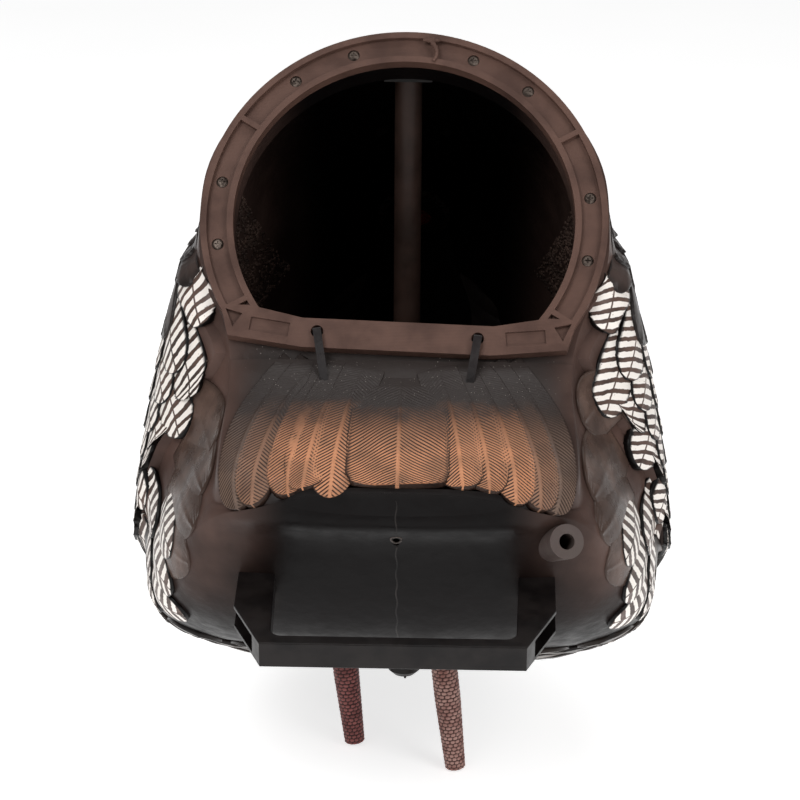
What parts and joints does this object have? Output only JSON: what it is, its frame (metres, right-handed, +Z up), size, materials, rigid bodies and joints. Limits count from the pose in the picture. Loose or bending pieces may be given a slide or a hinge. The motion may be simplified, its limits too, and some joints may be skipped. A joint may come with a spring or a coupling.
{
  "type": "turkey decoy",
  "caption": "Hollow strutting tom turkey decoy body with a D-shaped tail frame, carry handle, stake socket, short legs and a head that turns and lifts off.",
  "frame": {"origin": "centre of the stake socket's mouth under the belly", "axes": "+Z up along the stake, +Y towards the breast and head, +X to the bird's right side as seen from behind"},
  "size_m": [0.3082, 0.5547, 0.4614],
  "materials": {
    "body_plastic": "satin",
    "frame_plastic": "matte",
    "screw_steel": "satin",
    "tie_nylon": "gloss",
    "handle_plastic": "satin",
    "post_plastic": "matte",
    "tube_plastic": "matte",
    "leg_rubber": "matte",
    "head_rubber": "matte",
    "snood_rubber": "matte",
    "eye_gloss": "gloss",
    "beard_bristle": "matte"
  },
  "bodies": {
    "shell": {"body_shell": "body_plastic", "tail_frame": "frame_plastic", "frame_screws": "screw_steel", "cable_tie_left": "tie_nylon", "cable_tie_right": "tie_nylon", "carry_handle": "handle_plastic", "handle_backing_plates": "handle_plastic", "handle_bolts": "screw_steel", "stake_socket": "handle_plastic", "stake_post": "post_plastic", "socket_screws": "screw_steel", "post_cap": "handle_plastic", "leg_left": "leg_rubber", "leg_right": "leg_rubber", "leg_bolts": "screw_steel", "leg_washers": "screw_steel", "leg_nuts": "screw_steel", "guide_tube": "tube_plastic", "guide_tube_nut": "handle_plastic", "beard_pin": "screw_steel", "beard_clip": "handle_plastic"},
    "collar": {"neck_collar": "handle_plastic", "collar_snap_ring": "screw_steel"},
    "head": {"head": "head_rubber", "eye_left": "eye_gloss", "eye_right": "eye_gloss", "snood": "snood_rubber"},
    "beard": {"beard": "beard_bristle"}
  },
  "joints": [
    {"name": "head_swivel", "type": "hinge", "parent": "shell", "child": "collar", "pos_m": [0, 0.196, 0.255], "axis": [0, 0.8192, 0.5736], "range_deg": [-60, 60]},
    {"name": "head_lift_off", "type": "slide", "parent": "collar", "child": "head", "axis": [0, 0.8192, 0.5736], "range_m": [0, 0.045]},
    {"name": "beard_swing", "type": "hinge", "parent": "shell", "child": "beard", "pos_m": [0, 0.234, 0.196], "axis": [1, 0, 0], "range_deg": [-2, 40]}
  ]
}
